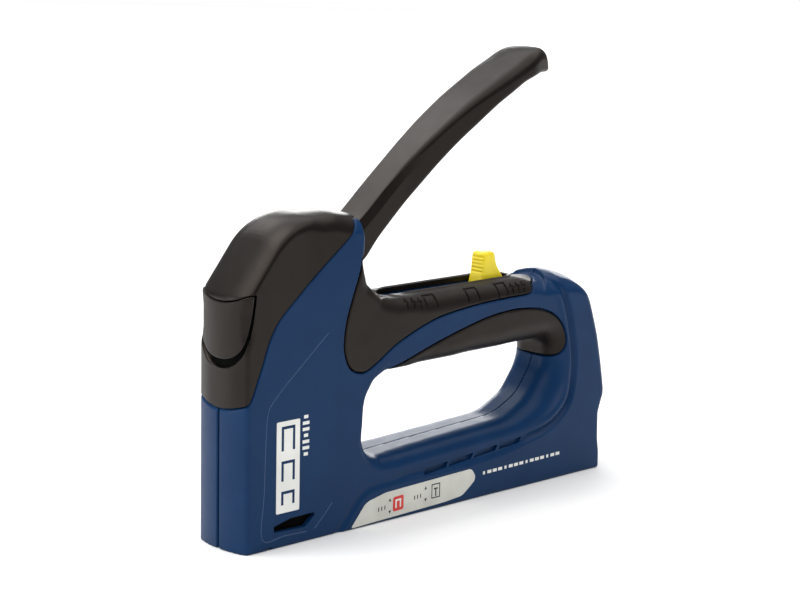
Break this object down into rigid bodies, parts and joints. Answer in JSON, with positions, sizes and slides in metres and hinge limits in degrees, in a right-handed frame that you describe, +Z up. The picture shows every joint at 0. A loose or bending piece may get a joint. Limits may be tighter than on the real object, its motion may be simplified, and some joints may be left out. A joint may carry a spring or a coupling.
{
  "type": "staple gun",
  "caption": "Hand-squeezed staple gun with a two-shell metal housing, long finger opening, squeeze lever, force slider on the grip and a rear-loading magazine.",
  "frame": {"origin": "middle of the tool's length and width, on the plane of its base", "axes": "+X from the nose to the rear, +Y across the tool towards the screwed shell, +Z up from the base"},
  "size_m": [0.196, 0.029, 0.1785],
  "materials": {
    "body_blue": "satin powder coat",
    "cap_black": "satin moulded",
    "grip_black": "fine texture",
    "print_white": "printed",
    "label_silver": "printed foil",
    "plated_steel": "zinc plated",
    "spring_steel": "oiled",
    "rubber_black": "matte",
    "staple_wire": "galvanised",
    "slider_yellow": "satin"
  },
  "bodies": {
    "housing": {"housing_left": "body_blue", "housing_right": "body_blue", "head_cap": "cap_black", "front_insert": "cap_black", "grip_cover": "grip_black", "grip_pad": "grip_black", "name_block_left": "print_white", "name_block_right": "print_white", "side_label_left": "label_silver", "side_label_right": "label_silver", "housing_screws": "plated_steel", "pivot_pin": "plated_steel", "return_spring": "spring_steel", "nose_plate": "plated_steel", "driver_guide": "plated_steel", "rubber_damper": "rubber_black", "main_leaf_spring": "spring_steel", "helper_leaf_spring": "spring_steel", "spring_anchor": "plated_steel", "anchor_pins": "plated_steel", "slider_rail": "plated_steel", "magazine_channel": "plated_steel", "staple_strip": "staple_wire"},
    "lever": {"lever_shell": "cap_black", "lever_core": "plated_steel", "core_rivets": "plated_steel", "lift_roller": "plated_steel", "roller_pin": "plated_steel"},
    "driver": {"driver_blade": "plated_steel"},
    "slider": {"slider_knob": "slider_yellow", "fulcrum_shoe": "plated_steel", "detent_spring": "spring_steel"},
    "pusher": {"pusher_rod": "plated_steel", "pusher_knob": "cap_black", "pusher_latch": "plated_steel", "follower_spring": "spring_steel"},
    "follower": {"staple_follower": "plated_steel"}
  },
  "joints": [
    {"name": "lever_squeeze", "type": "hinge", "parent": "housing", "child": "lever", "pos_m": [-0.06, 0, 0.086], "axis": [0, 1, 0], "range_deg": [0, 34], "stiffness_Nm_per_rad": 0.5, "springref_deg": -34.38},
    {"name": "driver_lift", "type": "slide", "parent": "housing", "child": "driver", "axis": [0, 0, 1], "range_m": [0, 0.01705], "deforming": ["main_leaf_spring", "helper_leaf_spring"]},
    {"name": "force_adjust", "type": "slide", "parent": "housing", "child": "slider", "axis": [-1, 0, 0], "range_m": [0, 0.04]},
    {"name": "magazine_pull", "type": "slide", "parent": "housing", "child": "pusher", "axis": [1, 0, 0], "range_m": [0, 0.09]},
    {"name": "staple_feed", "type": "slide", "parent": "pusher", "child": "follower", "axis": [1, 0, 0], "range_m": [0, 0.064], "stiffness_N_per_m": 30, "springref_m": -0.08, "deforming": ["follower_spring"]}
  ],
  "couplings": [
    {"joint": "driver_lift", "follows": "lever_squeeze", "m_per_rad": 0.028559}
  ]
}
